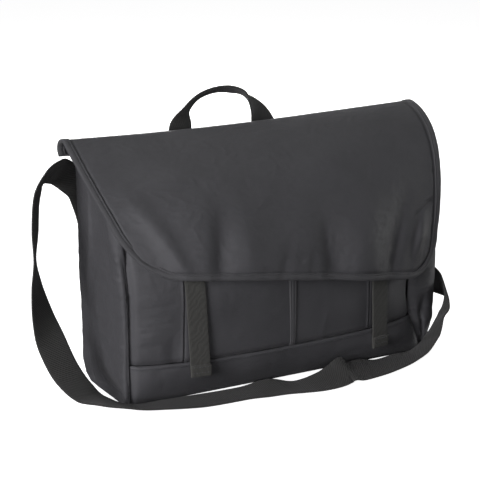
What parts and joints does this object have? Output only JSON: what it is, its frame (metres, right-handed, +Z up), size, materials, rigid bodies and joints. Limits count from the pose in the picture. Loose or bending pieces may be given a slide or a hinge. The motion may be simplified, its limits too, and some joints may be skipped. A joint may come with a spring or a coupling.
{
  "type": "messenger shoulder bag",
  "caption": "Soft messenger bag standing with its flap closed: front pocket under the flap, webbing tails, grab handle on the back and a shoulder strap laid on the floor in front.",
  "frame": {"origin": "middle of the base's underside, on the surface that the bag stands on", "axes": "+X from the bag's left to its right as seen from the front, +Y to the back, +Z up"},
  "size_m": [0.5847, 0.2085, 0.3494],
  "materials": {
    "cloth": "fine plain weave of coated charcoal polyester, matt with a soft sheen",
    "binding": "flat woven tape, charcoal, matt",
    "webbing": "flat twill webbing, olive charcoal, matt"
  },
  "bodies": {
    "root": {"front_pocket": "cloth", "front_panel": "cloth", "back_panel": "cloth", "gusset_left": "cloth", "gusset_right": "cloth", "base": "cloth", "flap": "cloth", "flap_binding": "binding", "pocket_welt": "binding", "front_tail_left": "webbing", "front_tail_right": "webbing", "grab_handle": "webbing", "shoulder_strap": "webbing"}
  },
  "joints": []
}
